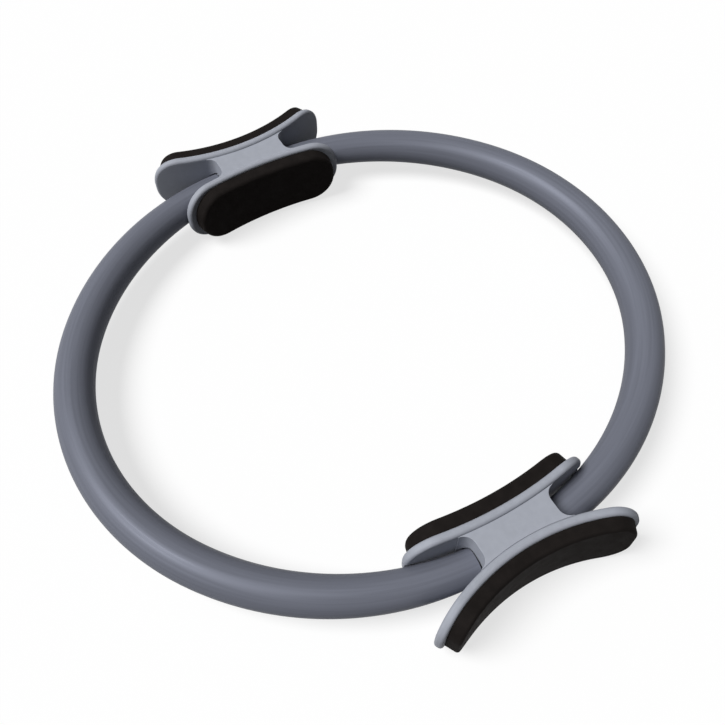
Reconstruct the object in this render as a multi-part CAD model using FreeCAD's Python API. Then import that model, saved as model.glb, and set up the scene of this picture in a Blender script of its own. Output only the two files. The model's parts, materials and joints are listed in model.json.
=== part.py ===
import FreeCAD, Part
import math
import os

# Pilates ring: two sprung half hoops between two handles, each with an outer and an inner padded paddle.
# Millimetres, +Z up, origin at the ring's centre. The handles stand on the X axis, front at +X. The hoops lie
# left (+Y) and right (-Y). A handle is drawn at the front, and turned half round for the rear.

Vector = FreeCAD.Vector
X_AXIS = Vector(1, 0, 0)
Y_AXIS = Vector(0, 1, 0)
Z_AXIS = Vector(0, 0, 1)
ORIGIN = Vector(0, 0, 0)

# Hoop centreline: straight inside each handle, then a shoulder arc, then a side arc
hoop_half_width = 166.5
handle_straight = 12.2
shoulder_radius = 179.2
shoulder_turn = 55.8

# Hoop tube, which narrows towards its ends, and the two leaf springs inside it
tube_diameter = 25.7
tube_end_diameter = 20.0
tube_taper_length = 80.0
tube_end_wall = 2.2
tube_sections = 8
tube_end_gap = 1.0
leaf_thickness = 1.8
leaf_height = 12.0
leaf_spacing = 0.8
leaf_root = 8.0

# Ferrule on a hoop end: a lipped block in the bridge and a spigot in the tube
ferrule_width = 8.6
ferrule_height = 15.0
ferrule_root = 5.5
lip_height = 19.0
lip_length = 4.5
spigot_length = 12.0
moving_clearance = 0.3

# Rivets across a ferrule
rivet_diameter = 3.0
rivet_head_diameter = 5.0
rivet_head_depth = 1.2
rivet_first = 14.6
rivet_pitch = 6.5

# Bridge between the paddles, in two halves, and how far its middle is from the ring's centre
handle_half_width = 164.0
bridge_width = 16.0
bridge_half_length = 25.0
bridge_height = 42.6
notch_radius = 7.0
notch_land = 0.35
bridge_edge_radius = 0.25
seam_gap = 0.1

# Paddles
paddle_thickness = 5.5
paddle_height = 46.0
paddle_corner = 20.5
paddle_rim_radius = 2.2
outer_paddle_length = 131.0
outer_paddle_radius = 135.0
inner_paddle_length = 119.0
inner_paddle_radius = 246.0
groove_clearance = 0.8

# Foam pads
outer_pad_thickness = 8.0
outer_pad_inset = 1.8
outer_pad_end_inset = 3.0
outer_pad_corner = 16.5
outer_pad_edge_radius = 2.6
inner_pad_thickness = 8.8
inner_pad_inset = 2.3
inner_pad_end_inset = 4.6
inner_pad_corner = 19.5
inner_pad_edge_radius = 3.4
glue_line = 0.1

# Screws that hold the paddles, and the clamp screw
screw_diameter = 3.5
screw_head_diameter = 6.6
screw_head_depth = 2.4
screw_recess = 0.5
screw_reach = 6.0
screw_pitch_along = 28.0
screw_pitch_up = 28.0
screw_fit = 0.1
clamp_diameter = 4.0
clamp_head_diameter = 7.4
clamp_head_depth = 2.6
clamp_recess = 0.5
clamp_reach = 14.0
drive_diameter = 2.4
drive_depth = 1.4

# Overrun of every cut past the face that it opens, and how near an edge lies to the place it is picked by
overrun = 2.0
pick_tolerance = 0.05

# Sizes that follow from those above
turn = math.radians(shoulder_turn)
side_radius = shoulder_radius - (shoulder_radius - hoop_half_width) / math.cos(turn)
shoulder_centre = Vector(hoop_half_width - shoulder_radius, handle_straight, 0)
side_centre = Vector(0, handle_straight + (shoulder_radius - side_radius) * math.sin(turn), 0)
tube_radius = tube_diameter / 2
tube_end_radius = tube_end_diameter / 2
bore_radius = tube_end_radius - tube_end_wall
tube_start = bridge_half_length + tube_end_gap
spigot_start = bridge_half_length + moving_clearance
notch_end = bridge_half_length + notch_radius
SIGNS = (-1, 1)
CORNERS = ((1, 1), (-1, 1), (-1, -1), (1, -1))


class Pad:
    """Sizes of one foam pad. Its insets lie between its edges and its paddle's."""

    def __init__(self, thickness, inset, end_inset, corner, edge_radius):
        self.thickness = thickness
        self.inset = inset
        self.end_inset = end_inset
        self.corner = corner
        self.edge_radius = edge_radius


class Paddle:
    """Sizes of one paddle and its pad. facing is 1 for the outer paddle and -1 for the inner one."""

    def __init__(self, facing, length, radius, pad):
        self.facing = facing
        self.length = length
        self.radius = radius
        self.pad = pad
        self.centre = handle_half_width + facing * (bridge_width / 2 + paddle_thickness + radius)

    def surface(self, depth, y):
        """X of the surface at a depth behind the padded face, at a distance from the paddle's middle."""
        return self.centre - self.facing * math.sqrt((self.radius + depth) ** 2 - y ** 2)


OUTER = Paddle(1, outer_paddle_length, outer_paddle_radius,
               Pad(outer_pad_thickness, outer_pad_inset, outer_pad_end_inset, outer_pad_corner,
                   outer_pad_edge_radius))
INNER = Paddle(-1, inner_paddle_length, inner_paddle_radius,
               Pad(inner_pad_thickness, inner_pad_inset, inner_pad_end_inset, inner_pad_corner,
                   inner_pad_edge_radius))


def on_arc(centre, radius, angle):
    """Point of a level circle at an angle from +X."""
    return centre + Vector(radius * math.cos(angle), radius * math.sin(angle), 0)


def arc_edge(centre, radius, start, end):
    """Level arc between two angles."""
    middle = (start + end) / 2
    points = [on_arc(centre, radius, angle) for angle in (start, middle, end)]
    return Part.Arc(*points).toShape()


def mirrored(point):
    """The same point at the rear of the ring."""
    return Vector(-point.x, point.y, point.z)


def start_angle(start):
    """Angle on the shoulder arc at a distance from the handle's middle, zero on the straight stretch."""
    return math.asin(max(start - handle_straight, 0) / shoulder_radius)


def front_edges(start, end_angle):
    """Left hoop's centreline from a distance from the handle's middle to an angle on the shoulder arc."""
    edges = []
    if start < handle_straight:
        foot = Vector(hoop_half_width, start, 0)
        edges.append(Part.makeLine(foot, foot + Y_AXIS * (handle_straight - start)))
    edges.append(arc_edge(shoulder_centre, shoulder_radius, start_angle(start), end_angle))
    return edges


def hoop_path(start):
    """Whole centreline of the left hoop, from the front handle to the rear one."""
    front = front_edges(start, turn)
    side = arc_edge(side_centre, side_radius, turn, math.pi - turn)
    rear_centre = mirrored(shoulder_centre)
    rear = [arc_edge(rear_centre, shoulder_radius, math.pi - turn, math.pi - start_angle(start))]
    if start < handle_straight:
        foot = Vector(-hoop_half_width, handle_straight, 0)
        rear.append(Part.makeLine(foot, foot - Y_AXIS * (handle_straight - start)))
    return Part.Wire(front + [side] + rear)


def path_start(start):
    """First point of the centreline and its direction there."""
    angle = start_angle(start)
    point = on_arc(shoulder_centre, shoulder_radius, angle)
    point.y = start
    return point, Vector(-math.sin(angle), math.cos(angle), 0)


def round_sweep(path, start, radius):
    """Round rod of a radius along a centreline that begins at start."""
    point, direction = path_start(start)
    circle = Part.Wire(Part.makeCircle(radius, point, direction))
    return path.makePipe(Part.Face(circle))


def strip_sweep(path, start, offset, thickness, height):
    """Flat strip on edge along a centreline, with its inner face at an offset from it."""
    corners = []
    for across, up in CORNERS:
        x = hoop_half_width + offset + thickness * (across + 1) / 2
        corners.append(Vector(x, start, height / 2 * up))
    return path.makePipe(Part.Face(Part.makePolygon(corners + corners[:1])))


def leaf_offset(order):
    """Offset of a leaf's inner face from the centreline: order 1 is the outer leaf, -1 the inner one."""
    middle = order * (leaf_spacing + leaf_thickness) / 2
    return middle - leaf_thickness / 2


def rivet_places():
    """Distances of the rivets from the handle's middle."""
    return [rivet_first, rivet_first + rivet_pitch]


def leaf_spring(order):
    """One leaf of the left hoop, with its rivet holes at both ends."""
    path = hoop_path(leaf_root)
    leaf = strip_sweep(path, leaf_root, leaf_offset(order), leaf_thickness, leaf_height)
    hole_radius = rivet_diameter / 2 + moving_clearance
    length = 2 * (hoop_half_width + tube_radius)
    for y in rivet_places():
        leaf = leaf.cut(Part.makeCylinder(hole_radius, length, Vector(-length / 2, y, 0), X_AXIS))
    return leaf


def tube_section(point, direction, radius):
    """Upright circle round a point of the centreline, square to its direction."""
    circle = Part.Wire(Part.makeCircle(radius, ORIGIN, Y_AXIS))
    circle.rotate(ORIGIN, Z_AXIS, math.degrees(math.atan2(-direction.x, direction.y)))
    circle.translate(point)
    return circle


def tapered_tube(start, grow):
    """Rod in the form of the left hoop's tube, grown by a clearance.

    Its radius falls off towards both ends, by a share that shrinks with the distance from the end."""
    path = hoop_path(start)
    places = []
    run = 0
    for edge in path.OrderedEdges:
        lengths = [edge.Length * step / tube_sections for step in range(tube_sections)]
        places += [(edge, length, run + length) for length in lengths]
        run += edge.Length
    places.append((edge, edge.Length, run))
    circles = []
    for edge, length, distance in places:
        parameter = edge.getParameterByLength(length)
        nearness = math.exp(-distance / tube_taper_length) + math.exp((distance - run) / tube_taper_length)
        radius = tube_radius - (tube_radius - tube_end_radius) * nearness + grow
        circles.append(tube_section(edge.valueAt(parameter), edge.tangentAt(parameter), radius))
    return Part.makeLoft(circles, True)


def sleeve():
    """Tube of the left hoop."""
    bore = round_sweep(hoop_path(tube_start), tube_start, bore_radius)
    return tapered_tube(tube_start, 0).cut(bore)


def centred_box(width, y_from, y_to, height):
    """Box on the tube's axis in the front handle, between two distances from its middle."""
    corner = Vector(hoop_half_width - width / 2, y_from, -height / 2)
    return Part.makeBox(width, y_to - y_from, height, corner)


def ferrule_form(grow, end):
    """Block of the left front ferrule with its lip, grown all round by a clearance."""
    root = ferrule_root - grow
    width = ferrule_width + 2 * grow
    neck = centred_box(width, root, end, ferrule_height + 2 * grow)
    lip = centred_box(width, root, ferrule_root + lip_length + grow, lip_height + 2 * grow)
    return neck.fuse(lip)


def spigot():
    """Round plug that follows the centreline into the tube."""
    end = start_angle(tube_start + spigot_length)
    path = Part.Wire(front_edges(spigot_start, end))
    return round_sweep(path, spigot_start, bore_radius - moving_clearance)


def rivet(y):
    """Rivet across the ferrule, with a flat head at each end."""
    foot = Vector(hoop_half_width - ferrule_width / 2, y, 0)
    rod = Part.makeCylinder(rivet_diameter / 2, ferrule_width, foot, X_AXIS)
    for sign in SIGNS:
        foot = Vector(hoop_half_width + sign * ferrule_width / 2, y, 0)
        rod = rod.fuse(Part.makeCylinder(rivet_head_diameter / 2, rivet_head_depth, foot, X_AXIS * -sign))
    return rod


def ferrule():
    """Left front ferrule: block, lip and spigot, slotted for the leaves and drilled for the rivets."""
    body = ferrule_form(0, spigot_start).fuse(spigot()).removeSplitter()
    start = leaf_root - moving_clearance
    path = hoop_path(start)
    thickness = leaf_thickness + 2 * moving_clearance
    for order in SIGNS:
        offset = leaf_offset(order) - moving_clearance
        slot = strip_sweep(path, start, offset, thickness, leaf_height + 2 * moving_clearance)
        body = body.cut(slot)
    for y in rivet_places():
        body = body.cut(rivet(y))
    return body


def curved_plate(paddle, near, far, length, height, corner):
    """Upright bent plate between two depths behind a paddle's padded face, with round corners.

    length is measured straight across, at the depth of the padded face."""
    axis = Vector(paddle.centre, 0, 0)
    edges = ((near, -1), (far, -1), (far, 1), (near, 1), (near, -1))
    section = [axis + Vector(paddle.radius + depth, 0, up * height / 2) for depth, up in edges]
    spread = 2 * math.degrees(math.asin(length / 2 / paddle.radius))
    plate = Part.Face(Part.makePolygon(section)).revolve(axis, Z_AXIS, spread)
    plate.rotate(axis, Z_AXIS, 90 + 90 * paddle.facing - spread / 2)
    ends = [edge for edge in plate.Edges
            if isinstance(edge.Curve, Part.Line) and edge.BoundBox.ZLength < pick_tolerance]
    return plate.makeFillet(corner, ends)


def rim_edges(plate, paddle, depth):
    """Edges of a plate's outline on the surface at a depth."""
    edges = []
    for edge in plate.Edges:
        middle = edge.valueAt((edge.FirstParameter + edge.LastParameter) / 2)
        distance = math.hypot(middle.x - paddle.centre, middle.y) - paddle.radius
        if abs(distance - depth) < pick_tolerance:
            edges.append(edge)
    return edges


def hex_socket(diameter, depth, foot, direction):
    """Six-sided drive recess, as deep as stated from its foot."""
    corners = [on_arc(ORIGIN, diameter / 2, math.pi / 3 * step) for step in range(7)]
    prism = Part.Face(Part.makePolygon(corners)).extrude(Z_AXIS * depth)
    prism.Placement = FreeCAD.Placement(foot, FreeCAD.Rotation(Z_AXIS, direction))
    return prism


def screw_places():
    """Places of a paddle's screws, along and up from the handle's middle."""
    return [(along * screw_pitch_along / 2, up * screw_pitch_up / 2) for along, up in CORNERS]


def paddle_screw(paddle, y, z, grow=0):
    """Screw from a paddle's padded face into the bridge, or with a clearance the hole for it."""
    outward = X_AXIS * paddle.facing
    seat = Vector(paddle.surface(screw_head_depth + screw_recess, y), y, z)
    length = paddle_thickness - screw_head_depth - screw_recess + screw_reach + grow
    shank = Part.makeCylinder(screw_diameter / 2 + grow, length, seat, outward * -1)
    head_depth = screw_head_depth if not grow else screw_head_depth + screw_recess + overrun
    head = Part.makeCylinder(screw_head_diameter / 2 + grow, head_depth, seat, outward)
    form = shank.fuse(head).removeSplitter()
    if grow:
        return form
    socket_foot = seat + outward * (screw_head_depth - drive_depth)
    return form.cut(hex_socket(drive_diameter, drive_depth, socket_foot, outward))


def clamp_screw(grow=0):
    """Screw that draws the bridge's halves together from below, or with a clearance the hole for it."""
    seat = Vector(handle_half_width, 0, clamp_head_depth + clamp_recess - bridge_height / 2)
    shank = Part.makeCylinder(clamp_diameter / 2 + grow, clamp_reach - seat.z + grow, seat, Z_AXIS)
    head_depth = clamp_head_depth if not grow else clamp_head_depth + clamp_recess + overrun
    head = Part.makeCylinder(clamp_head_diameter / 2 + grow, head_depth, seat, Z_AXIS * -1)
    form = shank.fuse(head).removeSplitter()
    if grow:
        return form
    socket_foot = seat - Z_AXIS * (clamp_head_depth - drive_depth)
    return form.cut(hex_socket(drive_diameter, drive_depth, socket_foot, Z_AXIS * -1))


def both_sides(shape):
    """A shape and its mirror image on the other side of the handle."""
    return [shape, flipped(shape)]


def flipped(shape):
    """Mirror image in the plane between left and right."""
    return shape.mirror(ORIGIN, Y_AXIS)


def turned(shape):
    """Copy turned half round the Z axis, from the front to the rear."""
    copy = shape.copy()
    copy.rotate(ORIGIN, Z_AXIS, 180)
    return copy


def tube_grooves():
    """Room for the tube where it runs between the paddles."""
    return both_sides(tapered_tube(bridge_half_length, groove_clearance))


def paddle_plate(paddle, grooves):
    """Paddle with a rounded rim, grooves for the tube and counterbored screw holes."""
    plate = curved_plate(paddle, 0, paddle_thickness, paddle.length, paddle_height, paddle_corner)
    rims = rim_edges(plate, paddle, 0) + rim_edges(plate, paddle, paddle_thickness)
    plate = plate.makeFillet(paddle_rim_radius, rims)
    holes = [paddle_screw(paddle, y, z, screw_fit) for y, z in screw_places()]
    return plate.cut(grooves + holes)


def foam_pad(paddle):
    """Foam pad glued to a paddle's face, with a rolled front edge."""
    pad = paddle.pad
    front = -glue_line - pad.thickness
    length = paddle.length - 2 * pad.end_inset
    height = paddle_height - 2 * pad.inset
    foam = curved_plate(paddle, front, -glue_line, length, height, pad.corner)
    return foam.makeFillet(pad.edge_radius, rim_edges(foam, paddle, front))


def notch_corner(paddle):
    """Round corner of the bridge's notch, which thins the bridge's horn down to a land beside a paddle.

    Gives its arc from the bridge's end to the horn's tip, and a point past the tip inside the paddle."""
    back = paddle.radius + paddle_thickness
    axis = Vector(paddle.centre, 0, 0)
    depth = paddle_thickness + seam_gap + notch_land + notch_radius
    centre = Vector(paddle.surface(depth, notch_end), notch_end, 0)
    outward = (centre - axis).normalize()
    start = centre - Y_AXIS * notch_radius
    tip = centre - outward * notch_radius
    middle = centre - (Y_AXIS + outward).normalize() * notch_radius
    return Part.Arc(start, middle, tip).toShape(), axis + outward * (back - overrun)


def notch():
    """Hollow at the left end of the bridge, between its horns."""
    outer_arc, past_outer = notch_corner(OUTER)
    inner_arc, past_inner = notch_corner(INNER)
    far = Y_AXIS * (notch_end + overrun)
    beyond = [past_outer, X_AXIS * past_outer.x + far, X_AXIS * past_inner.x + far, past_inner]
    tips = [arc.valueAt(arc.LastParameter) for arc in (outer_arc, inner_arc)]
    starts = [arc.valueAt(arc.FirstParameter) for arc in (inner_arc, outer_arc)]
    back = Part.makePolygon(tips[:1] + beyond + tips[1:]).Edges
    outline = Part.Wire([Part.makeLine(*starts), outer_arc] + back + [inner_arc])
    outline.translate(Z_AXIS * -bridge_height)
    return Part.Face(outline).extrude(Z_AXIS * 2 * bridge_height)


def bridge(grooves):
    """Whole bridge: a block between the paddles, hollowed at its ends, with sockets for the ferrules."""
    low = INNER.surface(paddle_thickness, notch_end) - overrun
    high = OUTER.surface(paddle_thickness, notch_end) + overrun
    foot = Vector(low, -notch_end, -bridge_height / 2)
    block = Part.makeBox(high - low, 2 * notch_end, bridge_height, foot)
    cuts = both_sides(notch())
    for paddle in (OUTER, INNER):
        back_radius = paddle.radius + paddle_thickness + seam_gap
        base = Vector(paddle.centre, 0, -bridge_height)
        cuts.append(Part.makeCylinder(back_radius, 2 * bridge_height, base))
    block = block.cut(cuts)
    brims = []
    for edge in block.Edges:
        along = abs(edge.CenterOfMass.y)
        on_top = abs(edge.CenterOfMass.z) > bridge_height / 2 - pick_tolerance
        if on_top and bridge_half_length - pick_tolerance < along < notch_end - notch_radius / 2:
            brims.append(edge)
    block = block.makeFillet(bridge_edge_radius, brims)
    holes = both_sides(ferrule_form(moving_clearance, bridge_half_length + overrun))
    holes.append(clamp_screw(screw_fit))
    for paddle in (OUTER, INNER):
        holes += [paddle_screw(paddle, y, z, screw_fit) for y, z in screw_places()]
    return block.cut(grooves + holes)


def bridge_half(whole, up):
    """Upper (1) or lower (-1) half of the bridge."""
    size = 2 * (notch_end + bridge_width)
    corner = Vector(hoop_half_width - size / 2, -size / 2, 0 if up > 0 else -size)
    return whole.common(Part.makeBox(size, size, size, corner))


def handle_pieces():
    """Pieces of the front handle by name."""
    grooves = tube_grooves()
    whole = bridge(grooves)
    pieces = {"bridge_upper": bridge_half(whole, 1), "bridge_lower": bridge_half(whole, -1)}
    for name, paddle in (("outer", OUTER), ("inner", INNER)):
        pieces[name + "_paddle"] = paddle_plate(paddle, grooves)
        pieces[name + "_pad"] = foam_pad(paddle)
        screws = [paddle_screw(paddle, y, z) for y, z in screw_places()]
        pieces[name + "_screws"] = Part.makeCompound(screws)
    pieces["clamp_screw"] = clamp_screw()
    return pieces


def hoop_pieces():
    """Pieces of the left hoop by name."""
    return {"sleeve": sleeve(), "outer_leaf": leaf_spring(1), "inner_leaf": leaf_spring(-1)}


def hoop_end_pieces():
    """Pieces of the left front hoop end by name."""
    rivets = Part.makeCompound([rivet(y) for y in rivet_places()])
    return {"ferrule": ferrule(), "rivets": rivets}


def all_nodes():
    """Every node of the ring by name."""
    nodes = {}
    for name, shape in handle_pieces().items():
        nodes["front_" + name] = shape
        nodes["rear_" + name] = turned(shape)
    for name, shape in hoop_pieces().items():
        nodes["left_" + name] = shape
        nodes["right_" + name] = flipped(shape)
    for name, shape in hoop_end_pieces().items():
        nodes["left_front_" + name] = shape
        nodes["right_front_" + name] = flipped(shape)
        nodes["right_rear_" + name] = turned(shape)
        nodes["left_rear_" + name] = turned(flipped(shape))
    return nodes


os.makedirs("parts", exist_ok=True)
for node, shape in all_nodes().items():
    if not shape.isValid():
        raise ValueError(node + " is not a valid solid")
    shape.exportStep(os.path.join("parts", node + ".step"))
    print(node, len(shape.Solids), "solids", round(shape.Volume), "mm3")
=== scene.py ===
import json
import math

import bpy
import numpy as np
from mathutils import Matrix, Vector


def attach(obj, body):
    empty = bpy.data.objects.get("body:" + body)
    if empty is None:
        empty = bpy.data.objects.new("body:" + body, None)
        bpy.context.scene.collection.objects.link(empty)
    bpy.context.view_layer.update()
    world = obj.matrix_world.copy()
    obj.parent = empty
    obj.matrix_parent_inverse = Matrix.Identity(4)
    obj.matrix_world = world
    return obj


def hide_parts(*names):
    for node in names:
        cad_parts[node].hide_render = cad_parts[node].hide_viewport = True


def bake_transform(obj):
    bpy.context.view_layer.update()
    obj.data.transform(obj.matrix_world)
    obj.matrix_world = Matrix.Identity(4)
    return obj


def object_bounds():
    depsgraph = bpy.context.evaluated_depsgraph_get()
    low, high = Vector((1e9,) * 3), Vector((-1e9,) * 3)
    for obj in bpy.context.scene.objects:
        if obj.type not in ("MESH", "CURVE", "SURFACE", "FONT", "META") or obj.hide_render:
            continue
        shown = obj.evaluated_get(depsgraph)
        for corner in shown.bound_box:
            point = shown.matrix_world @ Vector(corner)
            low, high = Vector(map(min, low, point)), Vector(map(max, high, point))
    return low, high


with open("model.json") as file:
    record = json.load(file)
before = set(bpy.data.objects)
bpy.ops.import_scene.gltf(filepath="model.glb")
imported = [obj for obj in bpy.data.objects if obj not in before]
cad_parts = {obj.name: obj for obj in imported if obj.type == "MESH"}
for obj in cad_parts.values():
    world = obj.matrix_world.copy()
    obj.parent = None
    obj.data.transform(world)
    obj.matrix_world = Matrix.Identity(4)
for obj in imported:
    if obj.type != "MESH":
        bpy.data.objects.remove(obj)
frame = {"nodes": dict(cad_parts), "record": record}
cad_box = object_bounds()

bl_info = {
    "name": "Pilates Ring",
    "version": (1, 0, 0),
    "blender": (4, 5, 0),
    "location": "3D View > Sidebar > Pilates Ring",
    "description": "Bending tubes and leaves, foam pads, finishes and a stage for a packed pilates ring",
    "category": "Object",
}

SIDES = {"left": 1, "right": -1}
ENDS = {"front": 1, "rear": -1}
FACINGS = {"outer": 1, "inner": -1}
UP = np.array([0.0, 0.0, 1.0])
SLOT_COLOURS = {material["slot"]: material["base_color"] for material in frame["record"]["materials"]}

WHITE = (1.0, 1.0, 1.0, 1.0)
NOISE_LOW, NOISE_HIGH = 0.3, 0.7  # most of a noise texture's values lie between these
GRAIN_DETAIL, MOTTLE_DETAIL = 2.0, 4.0
MIX_COLOUR_A, MIX_COLOUR_B, MIX_COLOUR_RESULT = 6, 7, 2  # sockets of a Mix node that mixes colours
SHARP_EDGE = math.radians(40)
BAR_CORNER_STEPS = 5
PAD_END_STEPS, PAD_SIDE_STEPS, PAD_ROLL_STEPS, PAD_FACE_STEPS = 4, 6, 14, 12
FLOOR_STEPS = 96
FLOOR_ROUGHNESS = 0.9


def length(label, meaning, default):
    """A size in metres for the sidebar."""
    return bpy.props.FloatProperty(name=label, description=meaning, default=default, min=0.0, precision=4,
                                   unit="LENGTH")


def colour(label, meaning, default):
    """A linear colour for the sidebar."""
    return bpy.props.FloatVectorProperty(name=label, description=meaning, default=default[:3], min=0.0,
                                         max=1.0, subtype="COLOR")


def place(label, meaning, default):
    """A point in metres for the sidebar."""
    return bpy.props.FloatVectorProperty(name=label, description=meaning, default=default, precision=4,
                                         subtype="TRANSLATION", unit="LENGTH")


def angle(label, meaning, degrees):
    """An angle for the sidebar, given in degrees."""
    return bpy.props.FloatProperty(name=label, description=meaning, default=math.radians(degrees),
                                   subtype="ANGLE")


def share(label, meaning, default, highest=1.0):
    """A share of a whole for the sidebar."""
    return bpy.props.FloatProperty(name=label, description=meaning, default=default, min=0.0, max=highest,
                                   subtype="FACTOR")


def number(label, meaning, default):
    """A plain positive number for the sidebar."""
    return bpy.props.FloatProperty(name=label, description=meaning, default=default, min=0.0)


def count(label, meaning, default):
    """A number of steps for the sidebar."""
    return bpy.props.IntProperty(name=label, description=meaning, default=default, min=4)


class HoopSettings(bpy.types.PropertyGroup):
    """Line of the half hoops, with their tube and leaves."""
    half_width: length("Half width", "From the ring's middle to the tube's line in a handle", 0.1665)
    straight: length("Straight", "Half of the straight stretch in a handle", 0.0122)
    shoulder_radius: length("Shoulder radius", "Radius of the line next to a handle", 0.1792)
    shoulder_turn: angle("Shoulder turn", "Angle that the shoulder goes round", 55.8)
    tube_diameter: length("Tube diameter", "Outside diameter that the tube nears away from the handles",
                          0.0257)
    tube_end_diameter: length("Tube end diameter", "Outside diameter of the tube at its ends", 0.02)
    tube_taper: length("Tube taper", "Length in which most of the tube's narrowing is gone", 0.08)
    tube_bore: length("Tube bore", "Inside diameter of the tube", 0.0156)
    tube_start: length("Tube start", "From a handle's middle to the tube's end", 0.026)
    bend_start: length("Bend start", "From a handle's middle to where the tube and leaves begin to bend",
                       0.062)
    leaf_thickness: length("Leaf thickness", "Thickness of a leaf spring", 0.0018)
    leaf_height: length("Leaf height", "Height of a leaf spring", 0.012)
    leaf_spacing: length("Leaf spacing", "Gap between the two leaves", 0.0008)
    leaf_root: length("Leaf root", "From a handle's middle to a leaf's end", 0.008)
    leaf_edge: length("Leaf edge", "Radius of a leaf's long edges", 0.0003)
    stations: count("Stations", "Steps along a quarter of the ring", 160)
    facets: count("Facets", "Steps round the tube", 72)


class PadSettings(bpy.types.PropertyGroup):
    """Foam pads and the paddles that carry them."""
    handle_half_width: length("Handle half width", "From the ring's middle to a handle's middle", 0.164)
    bridge_width: length("Bridge width", "Distance between the backs of a handle's paddles", 0.016)
    paddle_thickness: length("Paddle thickness", "Thickness of a paddle", 0.0055)
    paddle_height: length("Paddle height", "Height of a paddle", 0.046)
    outer_length: length("Outer length", "Length of an outer paddle", 0.131)
    outer_radius: length("Outer radius", "Radius of an outer paddle's padded face", 0.135)
    outer_thickness: length("Outer thickness", "Thickness of an outer pad at its edge", 0.0083)
    outer_inset: length("Outer inset", "From an outer paddle's long edge to its pad's edge", 0.0015)
    outer_end_inset: length("Outer end inset", "From an outer paddle's end to its pad's end", 0.003)
    outer_corner: length("Outer corner", "Radius of an outer pad's corners", 0.0165)
    outer_edge: length("Outer rolled edge", "Radius of an outer pad's rolled front edge", 0.002)
    inner_length: length("Inner length", "Length of an inner paddle", 0.119)
    inner_radius: length("Inner radius", "Radius of an inner paddle's padded face", 0.246)
    inner_thickness: length("Inner thickness", "Thickness of an inner pad at its edge", 0.0092)
    inner_inset: length("Inner inset", "From an inner paddle's long edge to its pad's edge", 0.0023)
    inner_end_inset: length("Inner end inset", "From an inner paddle's end to its pad's end", 0.0046)
    inner_corner: length("Inner corner", "Radius of an inner pad's corners", 0.0195)
    inner_edge: length("Inner rolled edge", "Radius of an inner pad's rolled front edge", 0.0028)
    crown: length("Crown", "Rise of a pad's middle above its edge", 0.0002)
    draft: length("Draft", "How far a pad's side leans in", 0.0001)
    glue_line: length("Glue line", "Thickness of the glue under a pad", 0.0001)
    fill: share("Fill", "How full and tight the foam is", 0.95)
    steps: count("Steps", "Steps round each quarter of a pad's outline", 48)


class FinishSettings(bpy.types.PropertyGroup):
    """Colours of the finishes."""
    tube: colour("Tube skin", "Satin skin of the tubes", SLOT_COLOURS["tube_skin"])
    pearl: share("Tube pearl", "Share of pearl pigment in the tubes' skin", 0.14, highest=0.9)
    plastic: colour("Handle plastic", "Moulded plastic of the handles", SLOT_COLOURS["handle_plastic"])
    foam: colour("Pad foam", "Closed-cell foam of the pads", SLOT_COLOURS["pad_foam"])
    fibreglass: colour("Leaf fibreglass", "Drawn fibreglass of the leaves", SLOT_COLOURS["leaf_fibreglass"])
    nylon: colour("Ferrule nylon", "Nylon of the ferrules", SLOT_COLOURS["ferrule_nylon"])
    steel: colour("Fastener steel", "Steel of the screws and rivets", SLOT_COLOURS["fastener_steel"])


class StageSettings(bpy.types.PropertyGroup):
    """Floor, light and camera."""
    floor_colour: colour("Floor", "Colour of the floor where it is seen", (1.0, 1.0, 1.0))
    floor_bounce: colour("Floor bounce", "Colour of the floor for the light that it throws back",
                         (0.1, 0.1, 0.1))
    floor_radius: length("Floor radius", "Radius of the floor", 6.0)
    floor_glow: share("Floor white", "Share of plain white that the camera sees", 0.72)
    fill_light: number("Fill light", "Strength of the light from all round", 0.06)
    key_azimuth: angle("Key azimuth", "Direction of the key light from the front, anticlockwise", 254)
    key_height: angle("Key height", "Height of the key light above the floor", 57)
    key_spread: angle("Key spread", "Width of the key light as the ring sees it", 30)
    key_strength: number("Key light", "Strength of the key light", 3.45)
    camera_place: place("Camera", "Place of the camera", (0.2698, -0.15703, 0.44319))
    camera_aim: place("Aim", "Point on the ring's middle plane that the camera looks at",
                      (0.02032, -0.01297, 0.0))
    camera_lens: bpy.props.FloatProperty(name="Lens", description="Focal length for a 36 mm sensor",
                                         default=41.19, min=1.0, subtype="DISTANCE_CAMERA")


def new_group(name, inputs, outputs):
    """Empty shader group with named sockets, given as label, kind and default."""
    group = bpy.data.node_groups.new(name, "ShaderNodeTree")
    for label, kind, default in inputs:
        socket = group.interface.new_socket(label, in_out="INPUT", socket_type="NodeSocket" + kind)
        if default is not None:
            socket.default_value = default
    for label, kind in outputs:
        group.interface.new_socket(label, in_out="OUTPUT", socket_type="NodeSocket" + kind)
    return group, group.nodes.new("NodeGroupInput"), group.nodes.new("NodeGroupOutput")


def add_node(tree, kind, values=None, **settings):
    """Shader node with its settings and the values of its inputs; a value that is a socket is linked."""
    node = tree.nodes.new("ShaderNode" + kind)
    for name, value in settings.items():
        setattr(node, name, value)
    for name, value in (values or {}).items():
        if isinstance(value, bpy.types.NodeSocket):
            tree.links.new(value, node.inputs[name])
        else:
            node.inputs[name].default_value = value
    return node


def frequency(tree, size):
    """Scale of a texture whose features have a size in metres: one over the size."""
    return add_node(tree, "Math", {0: 1.0, 1: size}, operation="DIVIDE").outputs["Value"]


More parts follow.
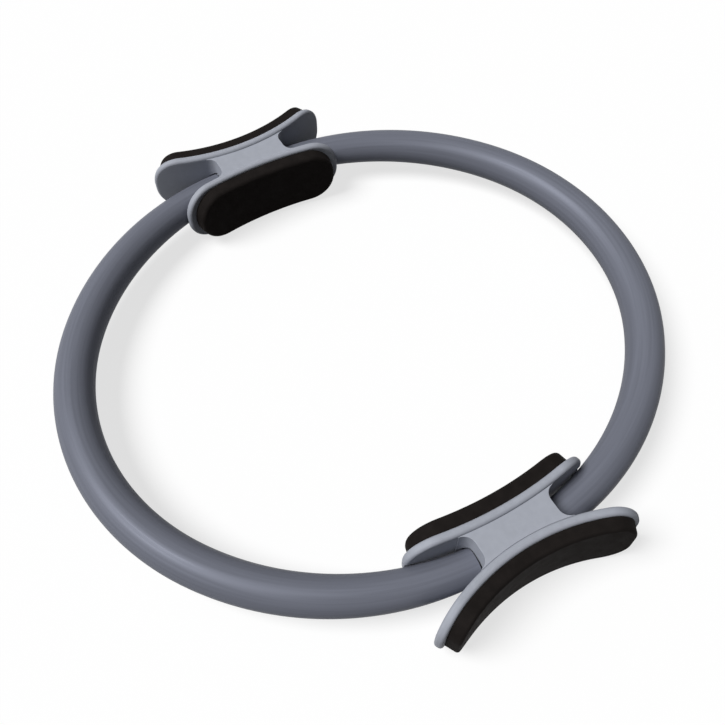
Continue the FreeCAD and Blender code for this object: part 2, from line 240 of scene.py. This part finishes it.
def grain_group():
    """Fine moulded grain: the height of noise with rounded cells mixed in, at a size in metres."""
    name = "Moulded grain"
    if name in bpy.data.node_groups:
        return bpy.data.node_groups[name]
    group, inside, outside = new_group(
        name, [("Vector", "Vector", None), ("Size", "Float", 0.0004), ("Cells", "Float", 0.5)],
        [("Height", "Float")])
    scale = frequency(group, inside.outputs["Size"])
    noise = add_node(group, "TexNoise", {"Vector": inside.outputs["Vector"], "Scale": scale,
                                         "Detail": GRAIN_DETAIL})
    cells = add_node(group, "TexVoronoi", {"Vector": inside.outputs["Vector"], "Scale": scale},
                     feature="SMOOTH_F1")
    height = add_node(group, "Mix", {"Factor": inside.outputs["Cells"], "A": noise.outputs["Fac"],
                                     "B": cells.outputs["Distance"]}, data_type="FLOAT")
    group.links.new(height.outputs["Result"], outside.inputs["Height"])
    return group


def mottle_group():
    """Soft mottle: a colour made lighter and darker in patches of a size in metres, by an amount."""
    name = "Soft mottle"
    if name in bpy.data.node_groups:
        return bpy.data.node_groups[name]
    group, inside, outside = new_group(
        name, [("Vector", "Vector", None), ("Color", "Color", None), ("Size", "Float", 0.02),
               ("Amount", "Float", 0.1)], [("Color", "Color"), ("Mask", "Float")])
    scale = frequency(group, inside.outputs["Size"])
    noise = add_node(group, "TexNoise", {"Vector": inside.outputs["Vector"], "Scale": scale,
                                         "Detail": MOTTLE_DETAIL})
    spread = add_node(group, "MapRange", {"Value": noise.outputs["Fac"], "From Min": NOISE_LOW,
                                          "From Max": NOISE_HIGH, "To Min": -1.0, "To Max": 1.0})
    change = add_node(group, "Math", {0: spread.outputs["Result"], 1: inside.outputs["Amount"], 2: 1.0},
                      operation="MULTIPLY_ADD")
    shade = add_node(group, "VectorMath", {0: inside.outputs["Color"], "Scale": change.outputs["Value"]},
                     operation="SCALE")
    group.links.new(shade.outputs["Vector"], outside.inputs["Color"])
    group.links.new(noise.outputs["Fac"], outside.inputs["Mask"])
    return group


def finish(name, base, mottle, rough, grain, attribute=None, stretch=(1.0, 1.0, 1.0), **shader_values):
    """Material of one finish: a mottled colour, a roughness that follows the mottle, and a bump of fine
    grain.

    mottle is the patches' size and amount, rough the lowest and highest roughness, and grain the size, share
    of cells, bump strength and bump depth. The pattern lies on Object coordinates, or on an attribute of the
    piece."""
    if name in bpy.data.materials:
        return bpy.data.materials[name]
    patch_size, patch_amount = mottle
    smoothest, roughest = rough
    grain_size, cell_share, bump_strength, bump_depth = grain
    material = bpy.data.materials.new(name)
    material.use_nodes = True
    tree = material.node_tree
    shader = tree.nodes["Principled BSDF"]
    for label, value in shader_values.items():
        shader.inputs[label].default_value = value
    if attribute:
        where = add_node(tree, "Attribute", attribute_name=attribute).outputs["Vector"]
    else:
        where = add_node(tree, "TexCoord").outputs["Object"]
    where = add_node(tree, "Mapping", {"Vector": where, "Scale": stretch}).outputs["Vector"]
    patches = add_node(tree, "Group", node_tree=mottle_group())
    patches.inputs["Color"].default_value = (*base, 1.0)
    patches.inputs["Size"].default_value = patch_size
    patches.inputs["Amount"].default_value = patch_amount
    relief = add_node(tree, "Group", node_tree=grain_group())
    relief.inputs["Size"].default_value = grain_size
    relief.inputs["Cells"].default_value = cell_share
    tree.links.new(where, patches.inputs["Vector"])
    tree.links.new(where, relief.inputs["Vector"])
    gloss = add_node(tree, "MapRange", {"Value": patches.outputs["Mask"], "From Min": NOISE_LOW,
                                        "From Max": NOISE_HIGH, "To Min": smoothest, "To Max": roughest})
    bump = add_node(tree, "Bump", {"Height": relief.outputs["Height"], "Strength": bump_strength,
                                   "Distance": bump_depth})
    tree.links.new(patches.outputs["Color"], shader.inputs["Base Color"])
    tree.links.new(gloss.outputs["Result"], shader.inputs["Roughness"])
    tree.links.new(bump.outputs["Normal"], shader.inputs["Normal"])
    return material


def tube_finish(finishes):
    """Pearly skin of the tubes, with fine drawn streaks along them. The pearl takes its share of the
    colour."""
    base = [channel / (1 - finishes.pearl) for channel in finishes.tube]
    return finish("tube_satin_skin", base, mottle=(0.0018, 0.09), rough=(0.32, 0.56),
                  grain=(0.0009, 0.0, 0.2, 0.0001), attribute="run", stretch=(0.02, 1.0, 1.0),
                  Metallic=finishes.pearl, **{"Specular IOR Level": 0.05})


def plastic_finish(finishes):
    """Moulded plastic of the handles: a fine spark-eroded grain."""
    return finish("handle_moulded_plastic", finishes.plastic, mottle=(0.004, 0.035), rough=(0.5, 0.6),
                  grain=(0.0005, 0.5, 0.25, 0.00015), **{"Specular IOR Level": 0.15})


def foam_finish(finishes):
    """Closed-cell foam of the pads: small open pores and a dull surface."""
    return finish("pad_closed_cell_foam", finishes.foam, mottle=(0.006, 0.25), rough=(0.72, 0.86),
                  grain=(0.0007, 0.75, 0.5, 0.0003), **{"Specular IOR Level": 0.04})


def fibreglass_finish(finishes):
    """Drawn fibreglass of the leaves: streaks of fibre along each leaf."""
    return finish("leaf_drawn_fibreglass", finishes.fibreglass, mottle=(0.0012, 0.22), rough=(0.28, 0.4),
                  grain=(0.0004, 0.0, 0.3, 0.0001), attribute="run", stretch=(0.03, 1.0, 1.0))


def nylon_finish(finishes):
    """Dark glass-filled nylon of the ferrules."""
    return finish("ferrule_filled_nylon", finishes.nylon, mottle=(0.003, 0.2), rough=(0.45, 0.6),
                  grain=(0.0004, 0.3, 0.3, 0.0001))


def steel_finish(finishes):
    """Zinc-plated steel of the screws and rivets."""
    return finish("fastener_plated_steel", finishes.steel, mottle=(0.001, 0.08), rough=(0.25, 0.38),
                  grain=(0.0002, 0.2, 0.15, 0.00005), Metallic=1.0)


def hoop_line(hoop, start):
    """Left front quarter of a hoop's line, from a distance from the handle's middle to the ring's side.

    A straight run, then an arc of the shoulder's radius through its turn, then an arc of the side's radius up
    to a right angle, at even steps of length. Gives the points, the level direction out of the ring at each,
    and the length so far."""
    turn = hoop.shoulder_turn
    side_radius = hoop.shoulder_radius - (hoop.shoulder_radius - hoop.half_width) / math.cos(turn)
    first = math.asin(max(start - hoop.straight, 0) / hoop.shoulder_radius)
    to_shoulder = max(hoop.straight - start, 0)
    to_side = to_shoulder + hoop.shoulder_radius * (turn - first)
    run = np.linspace(0, to_side + side_radius * (math.pi / 2 - turn), hoop.stations)
    on_straight = run < to_shoulder
    on_shoulder = run < to_side
    angle = np.where(on_shoulder, first + (run - to_shoulder) / hoop.shoulder_radius,
                     turn + (run - to_side) / side_radius)
    angle[on_straight] = 0
    outward = np.stack([np.cos(angle), np.sin(angle), np.zeros_like(angle)], axis=1)
    shoulder_centre = np.array([hoop.half_width - hoop.shoulder_radius, hoop.straight, 0])
    side_centre = np.array([0, hoop.straight + (hoop.shoulder_radius - side_radius) * math.sin(turn), 0])
    points = np.where(on_shoulder[:, None], shoulder_centre + hoop.shoulder_radius * outward,
                      side_centre + side_radius * outward)
    points[on_straight, 1] = start + run[on_straight]
    return points, outward, run


def sweep(points, outward, profile):
    """Profile carried along a line: each point moves out by the profile's first value and up by its second.
    The profile is one for the whole line, or one for each of its points."""
    profile = np.broadcast_to(profile, (len(points), *profile.shape[-2:]))
    return points[:, None] + profile[..., :1] * outward[:, None] + profile[..., 1:] * UP


def tube_share(hoop, run):
    """Share of its full diameter that the tube has at a length from its end: one, less the end's loss times a
    value that falls off exponentially from each of the hoop's two ends."""
    nearness = np.exp(-run / hoop.tube_taper) + np.exp((run - 2 * run[-1]) / hoop.tube_taper)
    return 1 - (1 - hoop.tube_end_diameter / hoop.tube_diameter) * nearness


def circle(radius, steps):
    """Circle as a profile, at even angles."""
    angle = np.linspace(0, 2 * math.pi, steps, endpoint=False)
    return radius * np.stack([np.cos(angle), np.sin(angle)], axis=1)


def bar_section(offset, thickness, height, edge):
    """Upright bar as a profile: a rectangle about an offset, with a quarter circle at each corner."""
    corner = np.repeat([0.0, 0.5, 1.0, 1.5], BAR_CORNER_STEPS) * math.pi
    angle = corner + np.tile(np.linspace(0, math.pi / 2, BAR_CORNER_STEPS), 4)
    across = np.sign(np.cos(corner + math.pi / 4)) * (thickness / 2 - edge) + edge * np.cos(angle)
    up = np.sign(np.sin(corner + math.pi / 4)) * (height / 2 - edge) + edge * np.sin(angle)
    return np.stack([offset + across, up], axis=1)


def ring_faces(rings, steps, closed=False):
    """Quads between neighbouring rings of a grid whose rings are loops. A closed grid's last ring meets its
    first."""
    ring = np.arange(rings if closed else rings - 1)[:, None]
    step = np.arange(steps)[None, :]
    after, beside = (ring + 1) % rings, (step + 1) % steps
    quads = np.stack([ring * steps + step, ring * steps + beside, after * steps + beside,
                      after * steps + step], axis=-1)
    return quads.reshape(-1, 4).tolist()


def strip_faces(first, steps, reverse):
    """Strip that fills a loop whose two halves mirror each other: step n is joined to the n-th step from the
    end."""
    upper = np.arange(1, steps // 2 - 1)
    strip = np.stack([upper, upper + 1, steps - upper - 1, steps - upper], axis=1)
    middle = steps // 2
    faces = strip.tolist() + [[0, 1, steps - 1], [middle - 1, middle, middle + 1]]
    return [[first + corner for corner in (face[::-1] if reverse else face)] for face in faces]


def volume(points, faces):
    """Six times the volume that faces enclose, negative where they point inwards: each face's fan from its
    first corner, as triple products."""
    total = 0.0
    for corners in sorted({len(face) for face in faces}):
        fans = points[np.array([face for face in faces if len(face) == corners])]
        for step in range(1, corners - 1):
            total += np.einsum("ij,ij->", fans[:, 0], np.cross(fans[:, step], fans[:, step + 1]))
    return total


def add_piece(name, points, faces, material):
    """Object at the origin with a mesh of these points, faces outwards, smooth but for its sharp edges."""
    points = points.reshape(-1, 3)
    if volume(points, faces) < 0:
        faces = [face[::-1] for face in faces]
    mesh = bpy.data.meshes.new(name)
    mesh.from_pydata(points.tolist(), [], faces)
    if mesh.validate():
        raise RuntimeError(name + " has broken faces")
    mesh.shade_smooth()
    mesh.set_sharp_from_angle(angle=SHARP_EDGE)
    mesh.materials.append(material)
    piece = bpy.data.objects.new(name, mesh)
    bpy.context.scene.collection.objects.link(piece)
    return piece


def run_marks(run, profile):
    """Place of each point of a swept profile: the length along its line, then how far up and out it lies."""
    return np.stack(np.broadcast_arrays(run[:, None], profile[None, :, 1], profile[None, :, 0]), axis=-1)


def mark_run(piece, marks):
    """Stores run marks on a piece's points, for finishes that run along it."""
    attribute = piece.data.attributes.new("run", "FLOAT_VECTOR", "POINT")
    attribute.data.foreach_set("vector", marks.astype(np.float32).ravel())


def quarter_mirror(side, end):
    """Signs that turn the left front quarter into another one."""
    return np.array([ENDS[end], SIDES[side], 1])


def bend_quarter(piece, hoop, end):
    """Bakes a quarter's placing into its mesh, the same way for either end. The hoop's line from where the
    bend starts is worked out but not used, so the quarter does not bend."""
    points, _, _ = hoop_line(hoop, hoop.bend_start)
    if end == "rear":
        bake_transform(piece)
    else:
        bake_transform(piece)


class RING_OT_tubes(bpy.types.Operator):
    """Make the tubes of both half hoops, in quarters"""
    bl_idname = "pilates_ring.tubes"
    bl_label = "Tubes"

    def execute(self, context):
        hoop = context.scene.pilates_hoop
        material = tube_finish(context.scene.pilates_finish)
        points, outward, run = hoop_line(hoop, hoop.tube_start)
        full = circle(hoop.tube_diameter / 2, hoop.facets)
        skin = tube_share(hoop, run)[:, None, None] * full
        bore = circle(hoop.tube_bore / 2, hoop.facets)
        wall = np.concatenate([sweep(points, outward, skin), sweep(points, outward, bore)[::-1]])
        marks = np.concatenate([run_marks(run, full), run_marks(run[::-1], bore)])
        faces = ring_faces(2 * hoop.stations, hoop.facets, closed=True)
        for side in SIDES:
            for end in ENDS:
                piece = add_piece(f"{side}_{end}_tube", wall * quarter_mirror(side, end), faces, material)
                mark_run(piece, marks)
                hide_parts(side + "_sleeve")
                bend_quarter(piece, hoop, end)
        return {"FINISHED"}


class RING_OT_leaves(bpy.types.Operator):
    """Make the leaf springs in the tubes, in quarters"""
    bl_idname = "pilates_ring.leaves"
    bl_label = "Leaf springs"

    def execute(self, context):
        hoop = context.scene.pilates_hoop
        material = fibreglass_finish(context.scene.pilates_finish)
        points, outward, run = hoop_line(hoop, hoop.leaf_root)
        for order, sign in FACINGS.items():
            offset = sign * (hoop.leaf_spacing + hoop.leaf_thickness) / 2
            section = bar_section(offset, hoop.leaf_thickness, hoop.leaf_height, hoop.leaf_edge)
            steps = len(section)
            bar = sweep(points, outward, section)
            last = (hoop.stations - 1) * steps
            faces = ring_faces(hoop.stations, steps)
            faces += [list(range(steps))[::-1], list(range(last, last + steps))]
            marks = run_marks(run, section)
            for side in SIDES:
                for end in ENDS:
                    piece = add_piece(f"{side}_{end}_{order}_leaf", bar * quarter_mirror(side, end), faces,
                                      material)
                    mark_run(piece, marks)
                    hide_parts(f"{side}_{order}_leaf")
                    bend_quarter(piece, hoop, end)
        return {"FINISHED"}


def pad_outline(half_length, half_height, corner, steps):
    """Rounded rectangle as a loop from the middle of one end, over the top and back underneath.

    Gives the rectangle inside the corners' centres, and the direction out of it: the outline is the first
    plus the corner's radius times the second. A quarter is worked out along one end, round a corner and along
    half the top, and mirrored."""
    end = np.linspace(0, 1, PAD_END_STEPS)[:-1]
    top = np.linspace(1, 0, steps)[1:]
    angle = np.linspace(0, math.pi / 2, steps // 2)
    core = np.array([half_length - corner, half_height - corner])
    shares = np.concatenate([np.stack([np.ones_like(end), end], axis=1), np.ones((len(angle), 2)),
                             np.stack([top, np.ones_like(top)], axis=1)])
    angle = np.concatenate([np.zeros_like(end), angle, np.full_like(top, math.pi / 2)])
    quarter = np.concatenate([shares * core, np.stack([np.cos(angle), np.sin(angle)], axis=1)], axis=1)
    upper = np.concatenate([quarter, (quarter[::-1] * [-1, 1, -1, 1])[1:]])
    loop = np.concatenate([upper, (upper[::-1] * [1, -1, 1, -1])[1:-1]])
    return loop[:, :2], loop[:, 2:]


def pad_section(pads, thickness, corner, radius):
    """Section of a pad from the middle of its back to the middle of its face, as inset from its edge and
    rise.

    Flat at the back, up a side that leans in by the draft, round a quarter circle, and over a face whose rise
    follows 3u^2 - 2u^3 up to the crown."""
    side_top = thickness - radius
    climb = np.linspace(0, 1, PAD_SIDE_STEPS)
    roll = np.linspace(0, math.pi / 2, PAD_ROLL_STEPS)[1:]
    across = np.linspace(0, 1, PAD_FACE_STEPS)[1:]
    edge = pads.draft + radius
    inset = [[corner, corner / 2], pads.draft * climb,
             pads.draft + radius * (1 - np.cos(roll)), edge + (corner - edge) * across]
    rise = [[0, 0], side_top * climb, side_top + radius * np.sin(roll),
            thickness + pads.crown * across ** 2 * (3 - 2 * across)]
    return np.concatenate(inset), np.concatenate(rise)


def pad_surface(pads, kind):
    """Points of a front pad as rings round its outline, one ring for each step of its section.

    The outline lies on the paddle's round face: its long way is an arc length there, and it shrinks by the
    section's inset. Each point stands off the face by the glue line and the rise, towards the face's axis: it
    lies at what is left of the face's radius from that axis, at the angle of the arc length over the
    radius."""
    paddle_length, radius, thickness, edge_inset, end_inset, corner, edge = [
        getattr(pads, f"{kind}_{size}")
        for size in ("length", "radius", "thickness", "inset", "end_inset", "corner", "edge")]
    half_arc = radius * math.asin((paddle_length / 2 - end_inset) / radius)
    core, out = pad_outline(half_arc, pads.paddle_height / 2 - edge_inset, corner, pads.steps)
    inset, rise = pad_section(pads, thickness, corner, edge)
    flat = core[None] + (corner - inset)[:, None, None] * out[None]
    turn = flat[..., 0] / radius
    reach = radius - pads.glue_line - rise[:, None]
    axis = pads.handle_half_width + FACINGS[kind] * (pads.bridge_width / 2 + pads.paddle_thickness + radius)
    return np.stack([axis - FACINGS[kind] * reach * np.cos(turn), reach * np.sin(turn), flat[..., 1]],
                    axis=-1)


class RING_OT_pads(bpy.types.Operator):
    """Make the foam pads on both faces of each handle"""
    bl_idname = "pilates_ring.pads"
    bl_label = "Foam pads"

    def execute(self, context):
        pads = context.scene.pilates_pads
        material = foam_finish(context.scene.pilates_finish)
        for kind in FACINGS:
            surface = pad_surface(pads, kind)
            rings, steps = surface.shape[:2]
            faces = ring_faces(rings, steps)
            faces += strip_faces(0, steps, True) + strip_faces((rings - 1) * steps, steps, False)
            for end in ENDS:
                turned = surface * np.array([ENDS[end], ENDS[end], 1])
                piece = add_piece(f"{end}_{kind}_foam_pad", turned, faces, material)
                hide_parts(f"{end}_{kind}_pad")
                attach(piece, end + "_handle")
        return {"FINISHED"}


def dress(nodes, material):
    """Gives CAD nodes a material."""
    for name in nodes:
        mesh = frame["nodes"][name].data
        mesh.materials.clear()
        mesh.materials.append(material)


class RING_OT_handles(bpy.types.Operator):
    """Give the paddles and bridges their moulded plastic"""
    bl_idname = "pilates_ring.handles"
    bl_label = "Handles"

    def execute(self, context):
        parts = ("bridge_upper", "bridge_lower", "outer_paddle", "inner_paddle")
        dress([end + "_" + part for end in ENDS for part in parts],
              plastic_finish(context.scene.pilates_finish))
        return {"FINISHED"}


class RING_OT_fasteners(bpy.types.Operator):
    """Give the ferrules, screws and rivets their finishes"""
    bl_idname = "pilates_ring.fasteners"
    bl_label = "Ferrules, screws and rivets"

    def execute(self, context):
        finishes = context.scene.pilates_finish
        hoop_ends = [f"{side}_{end}_" for side in SIDES for end in ENDS]
        screws = [end + "_" + part
                  for end in ENDS for part in ("outer_screws", "inner_screws", "clamp_screw")]
        dress([hoop_end + "ferrule" for hoop_end in hoop_ends], nylon_finish(finishes))
        dress(screws + [hoop_end + "rivets" for hoop_end in hoop_ends], steel_finish(finishes))
        return {"FINISHED"}


def floor_material(stage):
    """Pale matt floor. Rays from the camera, and those seen in a reflection or through glass, see its own
    colour and a share of white. Other rays see a darker floor, so that little light comes up from it."""
    material = bpy.data.materials.new("stage_floor")
    material.use_nodes = True
    tree = material.node_tree
    shader = tree.nodes["Principled BSDF"]
    seen = seen_rays(tree)
    tone = add_node(tree, "Mix", {"Factor": seen}, data_type="RGBA")
    tone.inputs[MIX_COLOUR_A].default_value = (*stage.floor_bounce, 1.0)
    tone.inputs[MIX_COLOUR_B].default_value = (*stage.floor_colour, 1.0)
    tree.links.new(tone.outputs[MIX_COLOUR_RESULT], shader.inputs["Base Color"])
    shader.inputs["Roughness"].default_value = FLOOR_ROUGHNESS
    shader.inputs["Specular IOR Level"].default_value = 0.0
    white = add_node(tree, "Emission", {"Strength": 1.0})
    glow = add_node(tree, "Math", {0: seen, 1: stage.floor_glow}, operation="MULTIPLY")
    mixed = add_node(tree, "MixShader", {0: glow.outputs["Value"], 1: shader.outputs["BSDF"],
                                         2: white.outputs["Emission"]})
    tree.links.new(mixed.outputs["Shader"], tree.nodes["Material Output"].inputs["Surface"])
    return material


def seen_rays(tree):
    """1 for a ray from the camera, from a glossy surface or through glass."""
    path = add_node(tree, "LightPath").outputs
    seen = add_node(tree, "Math", {0: path["Is Camera Ray"], 1: path["Is Glossy Ray"]}, operation="MAXIMUM")
    seen = add_node(tree, "Math", {0: seen.outputs["Value"], 1: path["Is Transmission Ray"]},
                    operation="MAXIMUM")
    return seen.outputs["Value"]


class RING_OT_stage(bpy.types.Operator):
    """Set the floor, the light, the white background and the camera"""
    bl_idname = "pilates_ring.stage"
    bl_label = "Stage"

    def execute(self, context):
        scene = context.scene
        stage = scene.pilates_stage
        scene.view_settings.view_transform = "Standard"
        self.lay_floor(scene, stage)
        self.light_world(scene, stage)
        self.hang_lamp(scene, stage)
        self.set_camera(scene, stage)
        return {"FINISHED"}

    def lay_floor(self, scene, stage):
        """Disc under the lowest point of the part."""
        rim = circle(stage.floor_radius, FLOOR_STEPS)
        level = np.full((len(rim), 1), cad_box[0].z)
        mesh = bpy.data.meshes.new("floor")
        mesh.from_pydata(np.concatenate([rim, level], axis=1).tolist(), [], [list(range(len(rim)))])
        mesh.materials.append(floor_material(stage))
        floor = bpy.data.objects.new("floor", mesh)
        scene.collection.objects.link(floor)

    def light_world(self, scene, stage):
        """Even light from all round, and white where the background is seen."""
        world = bpy.data.worlds.new("stage_world")
        scene.world = world
        world.use_nodes = True
        tree = world.node_tree
        fill = tree.nodes["Background"]
        fill.inputs["Color"].default_value = WHITE
        fill.inputs["Strength"].default_value = stage.fill_light
        white = add_node(tree, "Background", {"Color": WHITE, "Strength": 1.0})
        mixed = add_node(tree, "MixShader", {0: seen_rays(tree), 1: fill.outputs["Background"],
                                             2: white.outputs["Background"]})
        tree.links.new(mixed.outputs["Shader"], tree.nodes["World Output"].inputs["Surface"])

    def hang_lamp(self, scene, stage):
        """Broad even light from one side and above."""
        data = bpy.data.lights.new("key_light", "SUN")
        data.energy = stage.key_strength
        data.angle = stage.key_spread
        lamp = bpy.data.objects.new("key_light", data)
        level = math.cos(stage.key_height)
        source = Vector((level * math.cos(stage.key_azimuth), level * math.sin(stage.key_azimuth),
                         math.sin(stage.key_height)))
        lamp.location = source
        lamp.rotation_euler = (-source).to_track_quat("-Z", "Y").to_euler()
        scene.collection.objects.link(lamp)

    def set_camera(self, scene, stage):
        """Camera at the photo's place, turned to its aim."""
        data = bpy.data.cameras.new("photo_camera")
        data.lens = stage.camera_lens
        camera = bpy.data.objects.new("photo_camera", data)
        camera.location = stage.camera_place
        sight = Vector(stage.camera_aim) - Vector(stage.camera_place)
        camera.rotation_euler = sight.to_track_quat("-Z", "Y").to_euler()
        scene.collection.objects.link(camera)
        scene.camera = camera


SETTINGS = {"pilates_hoop": HoopSettings, "pilates_pads": PadSettings, "pilates_finish": FinishSettings,
            "pilates_stage": StageSettings}
OPERATORS = (RING_OT_stage, RING_OT_tubes, RING_OT_leaves, RING_OT_pads, RING_OT_handles, RING_OT_fasteners)


class RING_PT_sidebar(bpy.types.Panel):
    """Lists the ring's pieces and settings"""
    bl_idname = "RING_PT_sidebar"
    bl_label = "Pilates Ring"
    bl_space_type = "VIEW_3D"
    bl_region_type = "UI"
    bl_category = "Pilates Ring"

    def draw(self, context):
        for operator in OPERATORS:
            self.layout.operator(operator.bl_idname)
        for name, settings in SETTINGS.items():
            box = self.layout.box()
            box.label(text=settings.__doc__)
            for field in settings.__annotations__:
                box.prop(getattr(context.scene, name), field)


CLASSES = (*SETTINGS.values(), *OPERATORS, RING_PT_sidebar)


def register():
    """Registers the classes and hangs the settings on the scene."""
    for cls in CLASSES:
        bpy.utils.register_class(cls)
    for name, settings in SETTINGS.items():
        setattr(bpy.types.Scene, name, bpy.props.PointerProperty(type=settings))


def unregister():
    """Takes the settings and the classes away again."""
    for name in SETTINGS:
        delattr(bpy.types.Scene, name)
    for cls in reversed(CLASSES):
        bpy.utils.unregister_class(cls)


def main():
    """Registers the classes, then makes every piece and the stage."""
    register()
    bpy.ops.pilates_ring.stage()
    bpy.ops.pilates_ring.tubes()
    bpy.ops.pilates_ring.leaves()
    bpy.ops.pilates_ring.pads()
    bpy.ops.pilates_ring.handles()
    bpy.ops.pilates_ring.fasteners()


if __name__ == "__main__":
    main()
